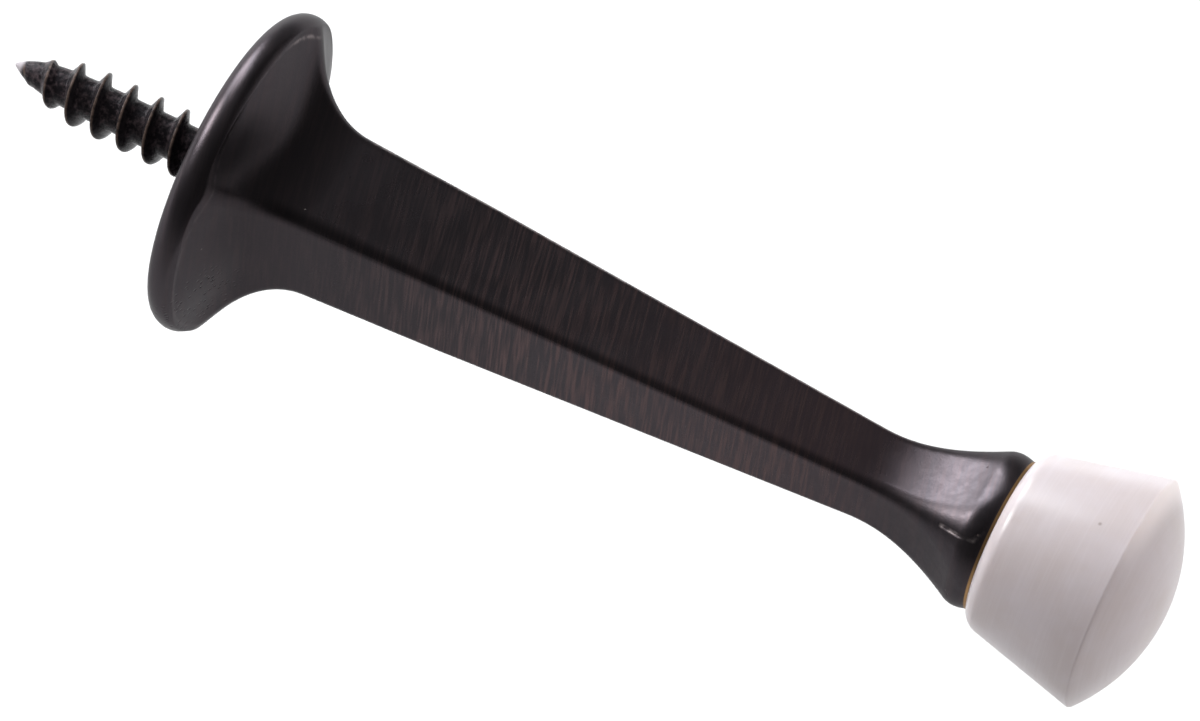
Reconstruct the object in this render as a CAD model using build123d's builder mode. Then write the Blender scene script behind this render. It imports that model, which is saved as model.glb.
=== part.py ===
from build123d import *
from math import asin, atan, cos, degrees, radians, sin, sqrt
import os

# A rigid door stop, in millimetres. The origin is the centre of the flange's back face, which sits on the
# skirting board. The axis runs along +X to the bumper, and the stem's four faces look along Y and Z.

# Body: the wall to the joint with the bumper
body_length = 63.3

# Flange: a round plate with a rounded rim, rising as a cone inside the rim
flange_diameter = 25.2
rim_radius = 1.5
rim_cone_angle = 30

# Stem: square and tapered, with rounded corners, on four hollow flares that meet the rim
flare_floor = 2.35
flare_radius = 7.1
stem_back_side = 9.5
stem_front_side = 5.34
stem_corner_radius = 0.75
stem_margin = 0.3

# Neck and collar: square at the stem, turning round towards the bumper
neck_length = 10.6
collar_diameter = 11.5
collar_lip = 0.3
collar_edge_radius = 3.0
collar_roundness = 0.98

# Bumper: a cone that widens to a sharp front edge, with a domed face
bumper_length = 12.9
bumper_back_diameter = 13.35
bumper_front_diameter = 17.9
bumper_back_radius = 1.5
dome_height = 3.4

# Stud of the casting inside the bumper, with a barb
stud_diameter = 4.8
stud_length = 6.5
barb_diameter = 6.2
barb_length = 3.0
barb_tip_diameter = 4.0

# Wood screw: plain shank in the casting, coarse right-handed thread behind the flange, gimlet point
screw_reach = 17.5
core_diameter = 3.05
point_length = 4.5
point_swell = 1.5
point_tip_diameter = 0.2
thread_diameter = 4.9
thread_pitch = 2.16
thread_base = 1.15
thread_crest = 0.16
thread_sink = 0.15
thread_root_diameter = 1.1
thread_start = 0.65
thread_taper_start = 12.4
thread_end = 15.8
thread_end_diameter = 2.7
shank_diameter = 4.0
shank_start = 0.9
shank_length = 12.0
shank_chamfer = 0.4

# Fits
screw_clearance = 0.02
screw_end_gap = 0.5
screw_mouth_diameter = 5.8
screw_mouth_angle = 90
stud_clearance = 0.02
stud_end_gap = 0.3

flange_radius = flange_diameter / 2
collar_radius = collar_diameter / 2
collar_x = body_length - collar_lip
neck_start = collar_x - neck_length
projection = body_length + bumper_length

# The stem's half side falls along a straight line from the middle of the flare to the neck.
flare_x = flare_floor + flare_radius
taper = atan((stem_back_side - stem_front_side) / 2 / (neck_start - flare_x))
flare_height = stem_back_side / 2 + flare_radius / cos(taper)

# The neck is a hollow arc and the collar a round one. They meet in a common tangent at the neck angle.
neck_rise = collar_radius - stem_front_side / 2
turn = (neck_rise - collar_edge_radius * (1 - cos(taper))) / (neck_length + collar_edge_radius * sin(taper))
neck_angle = taper + 2 * atan(turn)
neck_radius = (neck_length - collar_edge_radius * sin(neck_angle)) / (sin(taper) + sin(neck_angle))
lip_angle = asin(collar_lip / collar_edge_radius)

with BuildLine():
    stem_end = (neck_start, stem_front_side / 2)
    neck = JernArc(stem_end, (cos(taper), -sin(taper)), neck_radius, degrees(taper + neck_angle))
    collar = JernArc(neck @ 1, neck % 1, collar_edge_radius, -degrees(neck_angle + lip_angle))

# Stations along the neck and collar: each one's X is its place, and its Y is half of the section's side.
neck_steps = 6
collar_steps = 4
stations = [neck @ (step / neck_steps) for step in range(1, neck_steps)]
stations += [collar @ (step / collar_steps) for step in range(collar_steps + 1)]


def corner_radius(station):
    """The section's corner radius: that of the stem, growing along the neck until the section is round."""
    share = min((station.X - neck_start) / neck_length, 1)
    return stem_corner_radius + (collar_roundness * station.Y - stem_corner_radius) * share**2


def is_stem_corner(edge):
    """Whether an edge runs along one of the stem's four corners, flare included."""
    middle = edge.center()
    return abs(abs(middle.Y) - abs(middle.Z)) < edge_tolerance and flare_floor < middle.X < neck_start


# Cast body: the stem's side view across Y and across Z, trimmed to the round flange and its cone
slab_half = flange_diameter
clear_radius = max(stem_back_side / sqrt(2), collar_radius) + stem_margin
edge_tolerance = 1e-6
with BuildPart() as body:
    for view, mode in ((Plane.XY, Mode.ADD), (Plane.XZ, Mode.INTERSECT)):
        with BuildSketch(view):
            with BuildLine():
                slab = Polyline((0, 0), (0, slab_half), (flare_floor, slab_half), (flare_floor, flare_height))
                flare = JernArc(slab @ 1, (0, -1), flare_radius, 90 - degrees(taper))
                Polyline(flare @ 1, stem_end, (neck_start, 0), (0, 0))
            make_face()
            mirror(about=Plane.XZ)
        extrude(amount=slab_half, both=True, mode=mode)
    fillet(body.edges().filter_by(is_stem_corner), stem_corner_radius)
    with BuildSketch():
        with BuildLine():
            back = Line((0, 0), (0, flange_radius - rim_radius))
            rim = JernArc(back @ 1, (0, 1), rim_radius, -(90 + rim_cone_angle))
            cone_length = ((rim @ 1).Y - clear_radius) / sin(radians(rim_cone_angle))
            cone = PolarLine(rim @ 1, cone_length, direction=rim % 1)
            Polyline(cone @ 1, (projection, clear_radius), (projection, 0), (0, 0))
        make_face()
    revolve(axis=Axis.X, mode=Mode.INTERSECT)
    add(body.faces().sort_by(Axis.X)[-1])
    for station in stations:
        with BuildSketch(Plane.YZ.offset(station.X)):
            RectangleRounded(2 * station.Y, 2 * station.Y, corner_radius(station))
    loft()
    barb_x = body_length + stud_length - barb_length
    with BuildSketch():
        with BuildLine():
            Polyline(
                (body_length, 0),
                (body_length, stud_diameter / 2),
                (barb_x, stud_diameter / 2),
                (barb_x, barb_diameter / 2),
                (body_length + stud_length, barb_tip_diameter / 2),
                (body_length + stud_length, 0),
                close=True,
            )
        make_face()
    revolve(axis=Axis.X)
    with Locations(Plane((0, 0, 0), z_dir=(-1, 0, 0))):
        CounterSinkHole(
            shank_diameter / 2 + screw_clearance,
            screw_mouth_diameter / 2,
            shank_length + screw_end_gap,
            counter_sink_angle=screw_mouth_angle,
        )
body.part.label = "body"

# Thread of the wood screw: a ridge along a helix, trimmed where it runs down to the point
with BuildPart() as thread:
    with BuildLine() as coil:
        Helix(
            thread_pitch,
            thread_end - thread_start,
            core_diameter / 2,
            center=(-thread_start, 0, 0),
            direction=(-1, 0, 0),
        )
    coil_start = coil.line @ 0
    outwards = Vector(0, coil_start.Y, coil_start.Z)
    around = Vector(1, 0, 0).cross(outwards)
    thread_height = (thread_diameter - core_diameter) / 2
    thread_depth = (core_diameter - thread_root_diameter) / 2
    with BuildSketch(Plane(coil_start, x_dir=outwards, z_dir=around)):
        with BuildLine():
            Polyline(
                (-thread_depth, -thread_base / 2),
                (-thread_sink, -thread_base / 2),
                (thread_height, -thread_crest / 2),
                (thread_height, thread_crest / 2),
                (-thread_sink, thread_base / 2),
                (-thread_depth, thread_base / 2),
                close=True,
            )
        make_face()
    sweep(path=coil.line, is_frenet=True)
    thread_fall = (thread_diameter - thread_end_diameter) / 2 / (thread_end - thread_taper_start)
    trim_radius = thread_end_diameter / 2 + thread_fall * thread_end
    with BuildSketch():
        with BuildLine():
            Polyline(
                (0, 0),
                (0, trim_radius),
                (-thread_end, thread_end_diameter / 2),
                (-thread_end, 0),
                close=True,
            )
        make_face()
    revolve(axis=Axis.X, mode=Mode.INTERSECT)

# Wood screw: one smooth core from the shank to the point, with the thread on it and the shank ahead of it
with BuildPart() as screw:
    with BuildSketch():
        with BuildLine():
            Polyline(
                (shank_start, core_diameter / 2),
                (shank_start, shank_diameter / 2),
                (shank_length - shank_chamfer, shank_diameter / 2),
                (shank_length, shank_diameter / 2 - shank_chamfer),
                (shank_length, 0),
                (-screw_reach, 0),
                (-screw_reach, point_tip_diameter / 2),
            )
            Bezier(
                (-screw_reach, point_tip_diameter / 2),
                (point_swell - screw_reach, core_diameter / 2),
                (point_length - screw_reach, core_diameter / 2),
                (shank_start, core_diameter / 2),
            )
        make_face()
    revolve(axis=Axis.X)
    add(thread.part)
screw.part.label = "screw"

# Rubber bumper
dome_x = projection - dome_height
socket_length = stud_length + stud_end_gap
with BuildPart() as bumper:
    with BuildSketch():
        with BuildLine():
            Polyline(
                (projection, 0),
                (body_length, 0),
                (body_length, bumper_back_diameter / 2),
                (dome_x, bumper_front_diameter / 2),
            )
            RadiusArc(
                (dome_x, bumper_front_diameter / 2),
                (projection, 0),
                ((bumper_front_diameter / 2) ** 2 + dome_height**2) / (2 * dome_height),
            )
        make_face()
    revolve(axis=Axis.X)
    fillet(bumper.edges().group_by(Axis.X)[0], bumper_back_radius)
    socket_x = body_length + stud_length - barb_length - stud_clearance
    with BuildSketch():
        with BuildLine():
            Polyline(
                (body_length, 0),
                (body_length, stud_diameter / 2 + stud_clearance),
                (socket_x, stud_diameter / 2 + stud_clearance),
                (socket_x, barb_diameter / 2 + stud_clearance),
                (body_length + socket_length, barb_diameter / 2 + stud_clearance),
                (body_length + socket_length, 0),
                close=True,
            )
        make_face()
    revolve(axis=Axis.X, mode=Mode.SUBTRACT)
bumper.part.label = "bumper"

os.makedirs("parts", exist_ok=True)
export_step(body.part, "parts/body.step")
export_step(screw.part, "parts/screw.step")
export_step(bumper.part, "parts/bumper.step")
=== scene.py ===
import bmesh
import bpy
from math import asin, atan, atan2, cos, exp, hypot, pi, radians, sin, sqrt, tan
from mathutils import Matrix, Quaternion, Vector
from mathutils.geometry import intersect_point_line


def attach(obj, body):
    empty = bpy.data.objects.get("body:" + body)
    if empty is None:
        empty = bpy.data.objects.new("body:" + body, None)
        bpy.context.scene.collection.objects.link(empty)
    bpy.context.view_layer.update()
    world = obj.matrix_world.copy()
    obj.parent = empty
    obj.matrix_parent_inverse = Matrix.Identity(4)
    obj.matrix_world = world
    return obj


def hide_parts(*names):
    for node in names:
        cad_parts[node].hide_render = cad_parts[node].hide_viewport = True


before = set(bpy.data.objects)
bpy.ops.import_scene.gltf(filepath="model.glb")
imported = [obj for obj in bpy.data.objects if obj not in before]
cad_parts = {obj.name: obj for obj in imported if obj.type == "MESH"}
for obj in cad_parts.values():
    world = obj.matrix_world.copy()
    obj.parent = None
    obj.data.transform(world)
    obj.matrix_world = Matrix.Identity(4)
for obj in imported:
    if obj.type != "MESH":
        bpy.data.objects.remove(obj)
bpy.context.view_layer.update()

# Cast body: a zinc die casting with a round flange, a square tapered stem and a round collar.
# It is spun as one shell with the flange's outline, and the stem's four flats are then pressed into it.
# The dark bronze finish was brushed across the stem, and it is rubbed along the edges, with a painted sheen
# on the stem's upper edge. Painted light lifts the stem's upper side towards the neck, and painted shade
# darkens the flare's root.
mm = 0.001
flange_radius = 12.6 * mm
rim_radius = 1.5 * mm
rim_cone = radians(30)
cone_end = 7.0 * mm
flare_floor = 2.35 * mm
flare_radius = 7.1 * mm
flare_ledge = 3
fill_start = 2.2 * mm
fill_reach = 12.4 * mm
fill_slope = 2.6
fill_softness = 2.0 * mm
stem_back = 4.75 * mm
stem_front = 2.67 * mm
stem_corner = 0.85 * mm
flare_corner = 1.2 * mm
flare_corner_end = 20 * mm
neck_start = 52.4 * mm
collar_start = 63.0 * mm
collar_radius = 5.75 * mm
collar_edge = 3.0 * mm
collar_roundness = 0.98
body_end = 63.3 * mm
mouth_radius = 2.9 * mm
hole_radius = 2.02 * mm
hole_depth = 2.4 * mm
edge_softness = 1.6 * mm
back_tolerance = 0.02 * mm
merge_distance = 0.001 * mm
flare_end = flare_floor + flare_radius
taper = atan((stem_back - stem_front) / (neck_start - flare_end))
flare_height = stem_back + flare_radius / cos(taper)
neck_length = collar_start - neck_start
neck_rise = collar_radius - stem_front - collar_edge * (1 - cos(taper))
neck_angle = taper + 2 * atan(neck_rise / (neck_length + collar_edge * sin(taper)))
neck_radius = (neck_length - collar_edge * sin(neck_angle)) / (sin(taper) + sin(neck_angle))
neck_centre = neck_start + neck_radius * sin(taper)
rim_end = rim_radius * (1 + sin(rim_cone))


def part_way(value, start, end):
    """How far a value has gone from a start to an end, from 0 to 1."""
    return min(max((value - start) / (end - start), 0), 1)


def half_side(x):
    """Half of the square section's side: hollow flare, straight taper, hollow neck and round collar."""
    if x < flare_floor:
        return flare_height + flare_ledge * (flare_floor - x)
    if x < flare_end - flare_radius * sin(taper):
        return flare_height - sqrt(flare_radius**2 - (flare_end - x) ** 2)
    if x < neck_start:
        return stem_back - (x - flare_end) * tan(taper)
    if x < neck_centre + neck_radius * sin(neck_angle):
        return stem_front + neck_radius * cos(taper) - sqrt(neck_radius**2 - (x - neck_centre) ** 2)
    return collar_radius - collar_edge + sqrt(collar_edge**2 - (x - collar_start) ** 2)


def square_reach(x, turn):
    """Distance from the axis to the rounded square at a turn about the axis. The flare's faces are fuller."""
    off_face = abs((turn + pi / 4) % (pi / 2) - pi / 4)
    side = half_side(x)
    filled = fill_reach - fill_slope * (x - fill_start) - side
    if filled > -fill_softness:
        fill = filled if filled > fill_softness else (filled + fill_softness) ** 2 / (4 * fill_softness)
        side += fill * cos(2 * off_face) ** 2
    round_share = part_way(x, neck_start, collar_start) ** 2
    corner = stem_corner + (collar_roundness * side - stem_corner) * round_share
    corner += (flare_corner - stem_corner) * part_way(x, flare_corner_end, flare_end)
    if side * tan(off_face) <= side - corner:
        return side / cos(off_face)
    diagonal = sqrt(2) * (side - corner)
    off_corner = pi / 4 - off_face
    return diagonal * cos(off_corner) + sqrt(corner**2 - (diagonal * sin(off_corner)) ** 2)


def round_reach(x):
    """Distance from the axis to the flange's rounded rim and the cone inside it."""
    if x < rim_end:
        return flange_radius - rim_radius + sqrt(max(rim_radius**2 - (x - rim_radius) ** 2, 0))
    return max(flange_radius - rim_radius * (1 - cos(rim_cone)) - (x - rim_end) * tan(rim_cone), cone_end)


rub_width = 0.22 * mm
worn_place = Vector((2.6, 6.4, 10.0)) * mm
worn_reach = 3.0 * mm
least_wear = 0.1
stem_edge_wear_and_sheen = 0.65
stem_edge_sheen_turn = 0.07
scuff_path = [
    Vector(point) * mm
    for point in ((59.7, -3.6, 3.45), (61.15, -4.1, 3.99), (62.4, -4.15, 4.27), (62.77, -3.42, 4.76))
]
scuff_half_width = 0.2 * mm
scuff_depth = 0.06 * mm


def scuffed(point):
    """How much a point lies in the scuff along the neck's edge, from 0 to 1."""
    nearest = min(
        (point - start.lerp(end, part_way(intersect_point_line(point, start, end)[1], 0, 1))).length
        for start, end in zip(scuff_path, scuff_path[1:])
    )
    return max(1 - nearest / scuff_half_width, 0)


def open_outline(bm, points):
    """An outline through points, each a place along the axis and a distance from it."""
    corners = [bm.verts.new((x, 0, reach)) for x, reach in points]
    for pair in zip(corners, corners[1:]):
        bm.edges.new(pair)
    return corners


def turn_on_axis(bm, steps):
    """Spins the outline about the axis into a shell."""
    bmesh.ops.spin(
        bm,
        geom=bm.verts[:] + bm.edges[:],
        cent=(0, 0, 0),
        axis=(1, 0, 0),
        angle=2 * pi,
        steps=steps,
        use_merge=True,
    )
    bmesh.ops.remove_doubles(bm, verts=bm.verts, dist=merge_distance)


def make_piece(bm, name, crease):
    """An object of the finished shell, shaded smooth but for edges sharper than a crease angle."""
    mesh = bpy.data.meshes.new(name)
    bm.to_mesh(mesh)
    bm.free()
    for polygon in mesh.polygons:
        polygon.use_smooth = True
    mesh.set_sharp_from_angle(angle=crease)
    piece = bpy.data.objects.new(name, mesh)
    bpy.context.scene.collection.objects.link(piece)
    return piece


rim_steps = 28
shell_steps = 208
corner_crowding = 0.15
shell_runs = (
    (3.2 * mm, 36),
    (4.6 * mm, 16),
    (flare_end, 26),
    (neck_start, 100),
    (collar_start, 90),
    (body_end, 4),
)
body_crease = radians(50)
bm = bmesh.new()
back = open_outline(
    bm,
    (
        (hole_depth, 0),
        (hole_depth, hole_radius),
        (mouth_radius - hole_radius, hole_radius),
        (0, mouth_radius),
        (0, flange_radius - rim_radius),
    ),
)
bmesh.ops.spin(
    bm,
    geom=[back[-1]],
    cent=(rim_radius, 0, flange_radius - rim_radius),
    axis=(0, 1, 0),
    angle=pi / 2 + rim_cone,
    steps=rim_steps,
)
for end, cuts in shell_runs:
    outer = max((v for v in bm.verts if v.co.z > mouth_radius), key=lambda v: v.co.x)
    run = bm.edges.new((outer, bm.verts.new((end, 0, flange_radius))))
    bmesh.ops.subdivide_edges(bm, edges=[run], cuts=cuts)
outer = max(bm.verts, key=lambda v: v.co.x)
bm.edges.new((outer, bm.verts.new((body_end, 0, 0))))
turn_on_axis(bm, shell_steps)
rubbed_and_sheen = bm.verts.layers.float.new("rubbed_and_sheen")
for v in bm.verts:
    x = v.co.x
    if x < back_tolerance or hypot(v.co.y, v.co.z) <= mouth_radius:
        continue
    turn = atan2(v.co.z, v.co.y)
    turn += corner_crowding * sin(4 * turn)
    flat, rim = square_reach(x, turn), round_reach(x)
    if x < rim_radius:
        flat = rim + edge_softness
    blend = max(1 - abs(flat - rim) / edge_softness, 0) if x < cone_end else 0
    reach = (min(flat, rim) if x < cone_end else flat) - blend**2 * edge_softness / 4
    v.co = (x, reach * cos(turn), reach * sin(turn))
    if x < cone_end:
        worn = max(1 - (v.co - worn_place).length / worn_reach, least_wear)
        v[rubbed_and_sheen] = worn * max(1 - abs(flat - rim) / rub_width, 0)
    # Painted sheen, partly wear: a light line along the stem's upper edge.
    elif flare_end < x < neck_start:
        v[rubbed_and_sheen] = stem_edge_wear_and_sheen * max(1 - abs(turn - pi / 4) / stem_edge_sheen_turn, 0)
    if x > neck_start:
        mark = scuffed(v.co)
        v[rubbed_and_sheen] = mark
        v.co.yz *= 1 - scuff_depth * mark / reach
bmesh.ops.recalc_face_normals(bm, faces=bm.faces)
body = make_piece(bm, "body_casting", body_crease)


def coat(piece, name):
    """Gives a piece its own material, and returns the material's node tree and shader."""
    material = bpy.data.materials.new(name)
    material.use_nodes = True
    piece.data.materials.append(material)
    return material.node_tree, material.node_tree.nodes["Principled BSDF"]


def node(tree, kind, settings=None, **inputs):
    """Adds a shader node. A socket given as an input is linked, and anything else is set."""
    made = tree.nodes.new(kind)
    for name, value in (settings or {}).items():
        setattr(made, name, value)
    for name, value in inputs.items():
        socket = made.inputs[int(name[1:])] if name[0] == "_" else made.inputs[name.replace("_", " ")]
        if isinstance(value, bpy.types.NodeSocket):
            tree.links.new(value, socket)
        else:
            socket.default_value = value
    return made


def place_in_mm(tree):
    """The place on the piece, in millimetres."""
    coordinates = node(tree, "ShaderNodeTexCoord").outputs["Object"]
    return node(tree, "ShaderNodeVectorMath", {"operation": "SCALE"}, _0=coordinates, Scale=1 / mm).outputs[0]


def off_point(tree, place, point):
    """The distance from a point, in millimetres."""
    made = node(tree, "ShaderNodeVectorMath", {"operation": "DISTANCE"}, _0=place, _1=point)
    return made.outputs["Value"]


def noise(tree, place, waves, detail=2.0, roughness=0.5):
    """A noise with its own number of waves to a millimetre along X, Y and Z."""
    at = node(tree, "ShaderNodeVectorMath", {"operation": "MULTIPLY"}, _0=place, _1=waves).outputs[0]
    made = node(tree, "ShaderNodeTexNoise", Vector=at, Scale=1.0, Detail=detail, Roughness=roughness)
    return made.outputs[0]


def ramp(tree, value, low, high, to_low=0.0, to_high=1.0):
    """A smooth step from one value to another between two limits."""
    return node(
        tree,
        "ShaderNodeMapRange",
        {"interpolation_type": "SMOOTHSTEP"},
        Value=value,
        _1=low,
        _2=high,
        _3=to_low,
        _4=to_high,
    ).outputs[0]


def sums(tree, operation, first, second):
    """One sum of two values or sockets."""
    return node(tree, "ShaderNodeMath", {"operation": operation}, _0=first, _1=second).outputs[0]


def tint(tree, share, under, over):
    """A colour laid over another by a share from 0 to 1."""
    mixed = node(tree, "ShaderNodeMix", {"data_type": "RGBA"}, _0=share, _6=under, _7=over)
    return mixed.outputs[2]


def dots(tree, place, scale, size):
    """Small round marks scattered over a surface, as a share from 0 to 1."""
    cells = node(tree, "ShaderNodeTexVoronoi", Vector=place, Scale=scale)
    return ramp(tree, cells.outputs["Distance"], size, 0.0)


def bumps(tree, height, depth, below=None):
    """A surface raised by a height from 0 to 1, times a depth in metres."""
    made = node(tree, "ShaderNodeBump", Strength=1.0, Distance=depth, Height=height)
    if below is not None:
        tree.links.new(below, made.inputs["Normal"])
    return made.outputs[0]


bronze_dark = (0.043, 0.0375, 0.042, 1)
bronze_light = (0.049, 0.0425, 0.047, 1)
bronze_root_shade = (0.032, 0.0275, 0.0305, 1)
bronze_lit_top = (0.064, 0.047, 0.053, 1)
bronze_brushed = (0.082, 0.056, 0.057, 1)
bronze_worn_and_sheen = (0.35, 0.3, 0.3, 1)
bronze_speck = (0.16, 0.14, 0.13, 1)
bronze_glance = (0.6, 0.6, 0.6, 1)
joint_tan = (0.32, 0.19, 0.09, 1)
joint_from, joint_to = 63.06, 63.14
brush_slant = radians(-15)
fine_waves = (6.0, 0.3, 0.3)
wide_waves = (3.1, 0.15, 0.15)
wide_share = 0.4
mottle_waves = (0.3, 0.3, 0.3)
grain_waves = (7, 7, 7)
wear_waves = (1.4, 1.4, 1.4)
dent_waves = (1.6, 1.6, 1.6)
pits_at = (2.7, -9.7, -3.3)
brush_depth = 0.003 * mm
grain_depth = 0.006 * mm
dent_depth = 0.004 * mm
speck_depth = -0.035 * mm
pit_depth = -0.09 * mm
brush_roughness = 0.03
tree, shader = coat(body, "bronze_finish")
place = place_in_mm(tree)
along, across, upwards = node(tree, "ShaderNodeSeparateXYZ", Vector=place).outputs
on_stem = sums(tree, "MULTIPLY", ramp(tree, along, 8, 28, 0.15, 1), ramp(tree, along, 47, 57, 1, 0.2))
# Painted shade: the finish is darker in the hollow of the flare's root, towards the flange.
on_shaded_root = sums(tree, "MULTIPLY", ramp(tree, along, 2, 5, 0, 0.85), ramp(tree, along, 36, 16))
# Painted light: the upper side of the stem's front half is lighter and browner, as if lit from above.
on_stem_front = sums(tree, "MULTIPLY", ramp(tree, along, 24, 52), ramp(tree, along, 57, 51))
on_lit_top = ramp(tree, sums(tree, "ADD", across, upwards), -0.3, 0.5, 0.3, 1)
on_neck = ramp(tree, along, 52, 57)
slanted = {"rotation_type": "Z_AXIS"}
brush_place = node(tree, "ShaderNodeVectorRotate", slanted, Vector=place, Angle=brush_slant).outputs[0]
fine_brush = noise(tree, brush_place, fine_waves, 1.0, 0.5)
wide_brush = noise(tree, brush_place, wide_waves, 1.0, 0.5)
brush = node(tree, "ShaderNodeMix", _0=wide_share, _2=fine_brush, _3=wide_brush).outputs[0]
brushed = sums(tree, "MULTIPLY", ramp(tree, brush, 0.4, 0.7), on_stem)
mottle = noise(tree, place, mottle_waves, 3.0, 0.6)
grain = noise(tree, place, grain_waves, 3.0, 0.6)
dents = noise(tree, place, dent_waves, 3.0, 0.6)
specks = dots(tree, place, 0.36, 0.045)
neck_pits = sums(tree, "MULTIPLY", dots(tree, place, 0.8, 0.075), on_neck)
by_pits = ramp(tree, off_point(tree, place, pits_at), 4.6, 2.0)
pits = sums(tree, "MULTIPLY", dots(tree, place, 2.0, 0.34), by_pits)
edge = node(tree, "ShaderNodeAttribute", {"attribute_name": "rubbed_and_sheen"}).outputs["Fac"]
edge = sums(tree, "MULTIPLY", edge, ramp(tree, noise(tree, place, wear_waves), 0.38, 0.62, 0.08, 0.8))
finish = tint(tree, ramp(tree, mottle, 0.35, 0.65), bronze_dark, bronze_light)
finish = tint(tree, on_shaded_root, finish, bronze_root_shade)
finish = tint(tree, sums(tree, "MULTIPLY", on_stem_front, on_lit_top), finish, bronze_lit_top)
finish = tint(tree, brushed, finish, bronze_brushed)
# The rubbed colour is wear on the flange and the neck, and painted sheen on the stem's upper edge.
finish = tint(tree, edge, finish, bronze_worn_and_sheen)
finish = tint(tree, specks, finish, bronze_speck)
finish = tint(tree, ramp(tree, along, joint_from, joint_to), finish, joint_tan)
tree.links.new(finish, shader.inputs["Base Color"])
rough = ramp(tree, mottle, 0.3, 0.7, 0.24, 0.28)
rough = sums(tree, "ADD", rough, sums(tree, "MULTIPLY", brushed, brush_roughness))
rough = sums(tree, "ADD", rough, ramp(tree, along, 3, 14, 0.08, 0))
rough = sums(tree, "ADD", rough, sums(tree, "MULTIPLY", on_neck, ramp(tree, dents, 0.35, 0.65, 0.07, 0.13)))
tree.links.new(rough, shader.inputs["Roughness"])
shader.inputs["Metallic"].default_value = 1.0
shader.inputs["Specular Tint"].default_value = bronze_glance
surface = bumps(tree, sums(tree, "MULTIPLY", brush, on_stem), brush_depth)
surface = bumps(tree, grain, grain_depth, surface)
surface = bumps(tree, sums(tree, "MULTIPLY", dents, on_neck), dent_depth, surface)
surface = bumps(tree, sums(tree, "MAXIMUM", neck_pits, specks), speck_depth, surface)
surface = bumps(tree, pits, pit_depth, surface)
tree.links.new(surface, shader.inputs["Normal"])
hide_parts("body")
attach(body, "root")

# Wood screw: rolled steel with a coarse right-handed thread and a gimlet point, under the same dark finish.
# One pitch of the thread's outline is spun along the axis, then drawn down to the point.
# Its plain end is pressed into the blind hole in the flange's back.
screw_reach = 17.5 * mm
screw_inside = 0.6 * mm
core_radius = 1.525 * mm
thread_pitch = 2.16 * mm
thread_turns = 10
turn_steps = 72
last_crest = 0.43 * mm
first_crest = last_crest - (thread_turns - 1) * thread_pitch
crest_rise = 0.9 * mm
half_thread = (
    (0.0, 0.925),
    (0.08, 0.91),
    (0.13, 0.86),
    (0.3, 0.48),
    (0.5, 0.05),
    (0.62, 0.005),
    (0.84, 0.0),
    (1.08, 0.0),
)
point_sharpness = 1.85 * mm
point_blunting = 0.12 * mm
taper_start, taper_end = -12.3 * mm, -16.4 * mm
run_out_start, run_out_end = -0.9 * mm, -0.15 * mm
screw_crease = radians(60)
bm = bmesh.new()
whole_thread = [(-x, rise) for x, rise in half_thread[:0:-1]] + list(half_thread)
open_outline(bm, [(first_crest + x * mm, core_radius + rise * mm) for x, rise in whole_thread])
bmesh.ops.spin(
    bm,
    geom=bm.verts[:] + bm.edges[:],
    cent=(0, 0, 0),
    axis=(1, 0, 0),
    dvec=(thread_pitch / turn_steps, 0, 0),
    angle=2 * pi * thread_turns,
    steps=turn_steps * thread_turns,
)
bmesh.ops.remove_doubles(bm, verts=bm.verts, dist=merge_distance)
for cut, side in ((screw_inside, 1), (-screw_reach, -1)):
    bmesh.ops.bisect_plane(
        bm,
        geom=bm.verts[:] + bm.edges[:] + bm.faces[:],
        plane_co=(cut, 0, 0),
        plane_no=(side, 0, 0),
        clear_outer=True,
    )
rubbed_and_sheen = bm.verts.layers.float.new("rubbed_and_sheen")
for v in bm.verts:
    x, reach = v.co.x, hypot(v.co.y, v.co.z)
    # The crests are marked for a colour that is partly wear and partly painted highlight.
    v[rubbed_and_sheen] = 1 if reach - core_radius > crest_rise else 0
    drawn = 1 - exp(-(x + screw_reach + point_blunting) / point_sharpness)
    thread = part_way(x, taper_end, taper_start) * part_way(x, run_out_end, run_out_start)
    v.co.yz *= (core_radius * drawn + (reach - core_radius) * thread) / reach
bmesh.ops.holes_fill(bm, edges=[e for e in bm.edges if e.is_boundary])
bmesh.ops.recalc_face_normals(bm, faces=bm.faces)
screw = make_piece(bm, "screw_thread", screw_crease)

screw_dark = (0.011, 0.0095, 0.011, 1)
screw_light = (0.07, 0.053, 0.057, 1)
screw_crest_wear_and_glint = (0.085, 0.06, 0.05, 1)
screw_bare_and_glint = (0.4, 0.37, 0.39, 1)
screw_glance = (0.45, 0.41, 0.46, 1)
glint_from, glint_to = -16.6, -17.1
root_from, root_to = 2.0, 1.6
least_crust = 0.15
crust_waves = (2.2, 2.2, 2.2)
crust_depth = 0.08 * mm
tree, shader = coat(screw, "screw_finish")
place = place_in_mm(tree)
along = node(tree, "ShaderNodeSeparateXYZ", Vector=place).outputs[0]
crust = noise(tree, place, crust_waves, 4.0, 0.65)
off_axis = node(tree, "ShaderNodeVectorMath", {"operation": "MULTIPLY"}, _0=place, _1=(0, 1, 1)).outputs[0]
off_axis = node(tree, "ShaderNodeVectorMath", {"operation": "LENGTH"}, _0=off_axis).outputs["Value"]
in_root = ramp(tree, off_axis, root_from, root_to, least_crust, 1)
edge = node(tree, "ShaderNodeAttribute", {"attribute_name": "rubbed_and_sheen"}).outputs["Fac"]
edge = sums(tree, "MULTIPLY", edge, ramp(tree, crust, 0.35, 0.6, 0.3, 1))
crusted = sums(tree, "MULTIPLY", ramp(tree, crust, 0.44, 0.7), in_root)
finish = tint(tree, crusted, screw_dark, screw_light)
# Painted highlight, partly wear: the thread's crests are lighter and browner.
finish = tint(tree, edge, finish, screw_crest_wear_and_glint)
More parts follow.
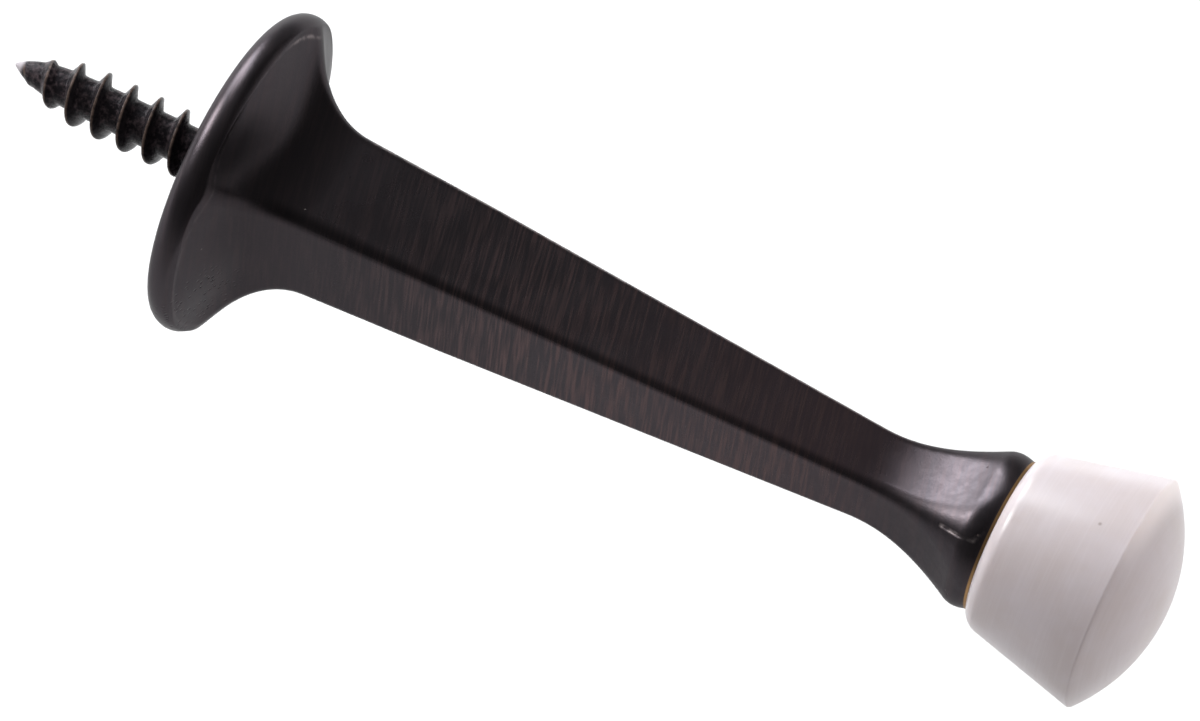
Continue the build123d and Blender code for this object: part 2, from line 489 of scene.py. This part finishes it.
# Painted highlight, partly bare metal: the point is near white.
finish = tint(tree, ramp(tree, along, glint_from, glint_to), finish, screw_bare_and_glint)
tree.links.new(finish, shader.inputs["Base Color"])
tree.links.new(ramp(tree, crust, 0.3, 0.7, 0.2, 0.38), shader.inputs["Roughness"])
shader.inputs["Specular IOR Level"].default_value = 0.1
shader.inputs["Specular Tint"].default_value = screw_glance
surface = bumps(tree, sums(tree, "MULTIPLY", crust, in_root), crust_depth)
tree.links.new(surface, shader.inputs["Normal"])
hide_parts("screw")
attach(screw, "root")

# Bumper: a moulded tip of pale rubber, a cone with a rounded back edge and a domed face.
# Its outline is spun, then the back edge is rounded and the sharp front edge broken.
# It is pushed over a barbed stud at the end of the casting.
bumper_back = 6.675 * mm
bumper_front = 8.95 * mm
bumper_tip = 76.2 * mm
dome_height = 3.4 * mm
dome_start = bumper_tip - dome_height
dome_radius = (bumper_front**2 + dome_height**2) / (2 * dome_height)
dome_steps = 20
bumper_steps = 144
back_rounding, back_segments = 1.18 * mm, 10
front_break, front_segments = 0.13 * mm, 3
ring_tolerance = 0.01 * mm
bumper_crease = radians(50)
bm = bmesh.new()
side_line = open_outline(bm, ((body_end, 0), (body_end, bumper_back), (dome_start, bumper_front)))
bmesh.ops.spin(
    bm,
    geom=[side_line[-1]],
    cent=(bumper_tip - dome_radius, 0, 0),
    axis=(0, 1, 0),
    angle=asin(bumper_front / dome_radius),
    steps=dome_steps,
)
turn_on_axis(bm, bumper_steps)
bmesh.ops.recalc_face_normals(bm, faces=bm.faces)


def on_ring(vertex, x, reach):
    """Whether a vertex lies on a ring about the axis."""
    off_ring = max(abs(vertex.co.x - x), abs(hypot(vertex.co.y, vertex.co.z) - reach))
    return off_ring < ring_tolerance


for ring_x, reach, offset, segments in (
    (body_end, bumper_back, back_rounding, back_segments),
    (dome_start, bumper_front, front_break, front_segments),
):
    ring = [e for e in bm.edges if all(on_ring(v, ring_x, reach) for v in e.verts)]
    bmesh.ops.bevel(
        bm, geom=ring, offset=offset, segments=segments, profile=0.5, affect="EDGES", material=-1
    )
bumper = make_piece(bm, "bumper_tip", bumper_crease)

rubber_dark = (0.5, 0.44, 0.443, 1)
rubber_light = (0.535, 0.482, 0.5, 1)
rubber_line = (0.7, 0.66, 0.69, 1)
rubber_painted_glow = (0.8, 0.73, 0.73, 1)
rubber_dust = (0.3, 0.25, 0.24, 1)
cloud_waves = (0.22, 0.22, 0.22)
line_waves = (5.0, 0.12, 0.12)
skin_waves = (5.0, 5.0, 5.0)
speck_at = (70.22, -0.87, 8.3)
skin_depth = 0.004 * mm
line_depth = 0.0015 * mm
tree, shader = coat(bumper, "bumper_rubber")
place = place_in_mm(tree)
along, across, upwards = node(tree, "ShaderNodeSeparateXYZ", Vector=place).outputs
cloud = noise(tree, place, cloud_waves, 3.0, 0.55)
lines = noise(tree, place, line_waves, 2.0, 0.6)
skin = noise(tree, place, skin_waves, 2.0, 0.5)
dust = dots(tree, place, 0.2, 0.02)
dust = sums(tree, "MAXIMUM", dust, ramp(tree, off_point(tree, place, speck_at), 0.22, 0.02))
on_dome_edge = sums(tree, "MULTIPLY", ramp(tree, along, 72.6, 72.9), ramp(tree, along, 74.2, 73.1))
on_lit_top = ramp(tree, sums(tree, "ADD", across, upwards), 3, 11)
finish = tint(tree, ramp(tree, cloud, 0.3, 0.7), rubber_dark, rubber_light)
finish = tint(tree, ramp(tree, lines, 0.4, 0.75, 0, 0.1), finish, rubber_line)
# Painted light: the upper half of the dome's edge is lighter and warmer, as light shining through the rubber.
finish = tint(tree, sums(tree, "MULTIPLY", on_lit_top, on_dome_edge), finish, rubber_painted_glow)
finish = tint(tree, dust, finish, rubber_dust)
tree.links.new(finish, shader.inputs["Base Color"])
shader.inputs["Roughness"].default_value = 0.3
shader.inputs["Specular IOR Level"].default_value = 0.35
shader.inputs["Subsurface Weight"].default_value = 0.35
shader.inputs["Subsurface Radius"].default_value = (1.0, 0.85, 0.75)
shader.inputs["Subsurface Scale"].default_value = 1.5 * mm
surface = bumps(tree, skin, skin_depth)
surface = bumps(tree, lines, line_depth, surface)
tree.links.new(surface, shader.inputs["Normal"])
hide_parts("bumper")
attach(bumper, "root")

# Studio: pale paper well under the stop, painted darker towards the camera's side and past the bumper.
# Three lamps behind on the left and two weak ones on the right stand in a dim room.
# The camera stands where the photograph was taken.
floor_level = -55 * mm
floor_half_size = 3
paper_white = (0.76, 0.76, 0.76, 1)
painted_paper_shade = (0, 0, 0, 1)
near_glow, far_glow = 0.05, 0.75
bm = bmesh.new()
bmesh.ops.create_grid(bm, x_segments=1, y_segments=1, size=floor_half_size)
bmesh.ops.translate(bm, vec=(0, 0, floor_level), verts=bm.verts)
mesh = bpy.data.meshes.new("floor")
bm.to_mesh(mesh)
bm.free()
floor = bpy.data.objects.new("floor", mesh)
bpy.context.scene.collection.objects.link(floor)
paper = bpy.data.materials.new("floor_paper")
paper.use_nodes = True
tree = paper.node_tree
tree.nodes.clear()
place = place_in_mm(tree)
along, across, _ = node(tree, "ShaderNodeSeparateXYZ", Vector=place).outputs
# Painted shade: the paper's colour and its glow fall off towards the camera's side and past the bumper.
lit = sums(tree, "MULTIPLY", ramp(tree, along, 210, 110, 0.65, 1), ramp(tree, across, -170, -75, 0.4, 1))
matt = node(tree, "ShaderNodeBsdfDiffuse", Color=tint(tree, lit, painted_paper_shade, paper_white)).outputs[0]
ray = node(tree, "ShaderNodeLightPath").outputs
seen = sums(tree, "MAXIMUM", ray["Is Glossy Ray"], ray["Is Transmission Ray"])
seen = sums(tree, "MAXIMUM", ray["Is Camera Ray"], seen)
off_middle = node(tree, "ShaderNodeVectorMath", {"operation": "LENGTH"}, _0=place).outputs["Value"]
# Painted light: for camera, glossy and transmission rays the paper glows, more so far from the stop.
glow = sums(tree, "MULTIPLY", lit, ramp(tree, off_middle, 120, 240, near_glow, far_glow))
lift = node(tree, "ShaderNodeEmission", Strength=sums(tree, "MULTIPLY", seen, glow)).outputs[0]
both = node(tree, "ShaderNodeAddShader", _0=matt, _1=lift).outputs[0]
node(tree, "ShaderNodeOutputMaterial", Surface=both)
mesh.materials.append(paper)

room = bpy.data.worlds.new("studio_room")
bpy.context.scene.world = room
room.use_nodes = True
tree = room.node_tree
backdrop = tree.nodes["Background"]
towards = node(tree, "ShaderNodeTexCoord").outputs["Generated"]
along, across, _ = node(tree, "ShaderNodeSeparateXYZ", Vector=towards).outputs
dim = sums(tree, "MULTIPLY", ramp(tree, along, -0.3, 0.8, 0.36, 0.16), ramp(tree, across, -0.8, 0.2, 0.5, 1))
tree.links.new(dim, backdrop.inputs["Strength"])
backdrop.inputs["Color"].default_value = (1, 1, 1, 1)

middle = Vector((31, 0, -2)) * mm
lamp_distance = 0.7
for name, direction, size, power, colour, mirrored in (
    ("key_lamp", (-0.74, 0.53, 0.4), 0.27, 3.95, (0.94, 0.975, 1), True),
    ("top_lamp", (-0.54, 0.4, 0.65), 0.2, 1.3, (0.94, 0.975, 1), True),
    ("rim_lamp", (-0.88, 0.0, 0.47), 0.2, 3.8, (1, 1, 1), True),
    ("fill_lamp", (0.78, 0.5, 0.38), 0.4, 2.6, (1, 0.97, 0.96), False),
    ("front_lamp", (0.55, -0.6, 0.58), 0.5, 1.0, (1, 0.96, 0.95), False),
):
    lamp = bpy.data.lights.new(name, "AREA")
    lamp.size = size
    lamp.energy = power
    lamp.color = colour
    stand = bpy.data.objects.new(name, lamp)
    stand.visible_glossy = mirrored
    stand.location = middle + Vector(direction).normalized() * lamp_distance
    stand.rotation_mode = "QUATERNION"
    stand.rotation_quaternion = (-Vector(direction)).to_track_quat("-Z", "Y")
    bpy.context.scene.collection.objects.link(stand)

looks_along = Vector((-0.19876, 0.52961, -0.82463))
camera_roll = radians(8.43)
lens = bpy.data.cameras.new("camera")
lens.sensor_width = 36
lens.lens = 238.09
lens.clip_start = 0.01
camera = bpy.data.objects.new("camera", lens)
camera.location = Vector((144.97, -303.49, 470.54)) * mm
camera.rotation_mode = "QUATERNION"
camera.rotation_quaternion = looks_along.to_track_quat("-Z", "Y") @ Quaternion((0, 0, 1), camera_roll)
bpy.context.scene.collection.objects.link(camera)
bpy.context.scene.camera = camera
bpy.context.scene.view_settings.view_transform = "Standard"
